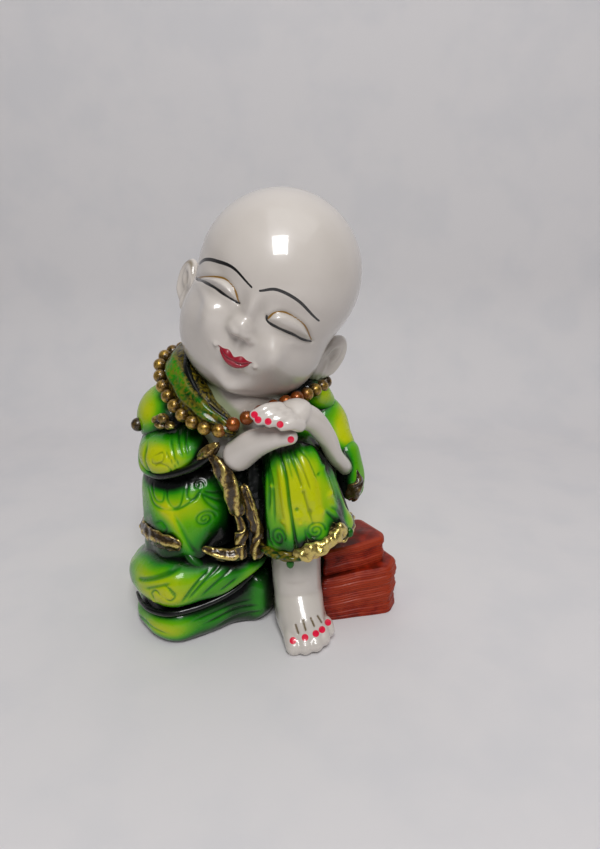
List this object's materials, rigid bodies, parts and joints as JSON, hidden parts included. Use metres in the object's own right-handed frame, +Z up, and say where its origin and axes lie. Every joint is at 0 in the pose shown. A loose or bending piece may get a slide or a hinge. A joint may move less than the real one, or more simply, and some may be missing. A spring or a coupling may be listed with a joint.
{
  "type": "seated child monk figurine",
  "caption": "Small painted resin figurine of a seated child monk with one knee raised, resting a large bald head on folded hands, with a ridged block beside the foot",
  "frame": {"origin": "on the ground, under the middle of the bounding box", "axes": "+X towards the figure's left hand, -Y the way it faces, +Z up"},
  "size_m": [0.1004, 0.0862, 0.1507],
  "materials": {
    "painted_resin": "cast resin, sprayed and hand painted: white skin, green and yellow robe, antique gold trims, red-brown block, under a glossy clear coat"
  },
  "bodies": {
    "root": {"baby_monk_figurine": "painted_resin"}
  },
  "joints": []
}
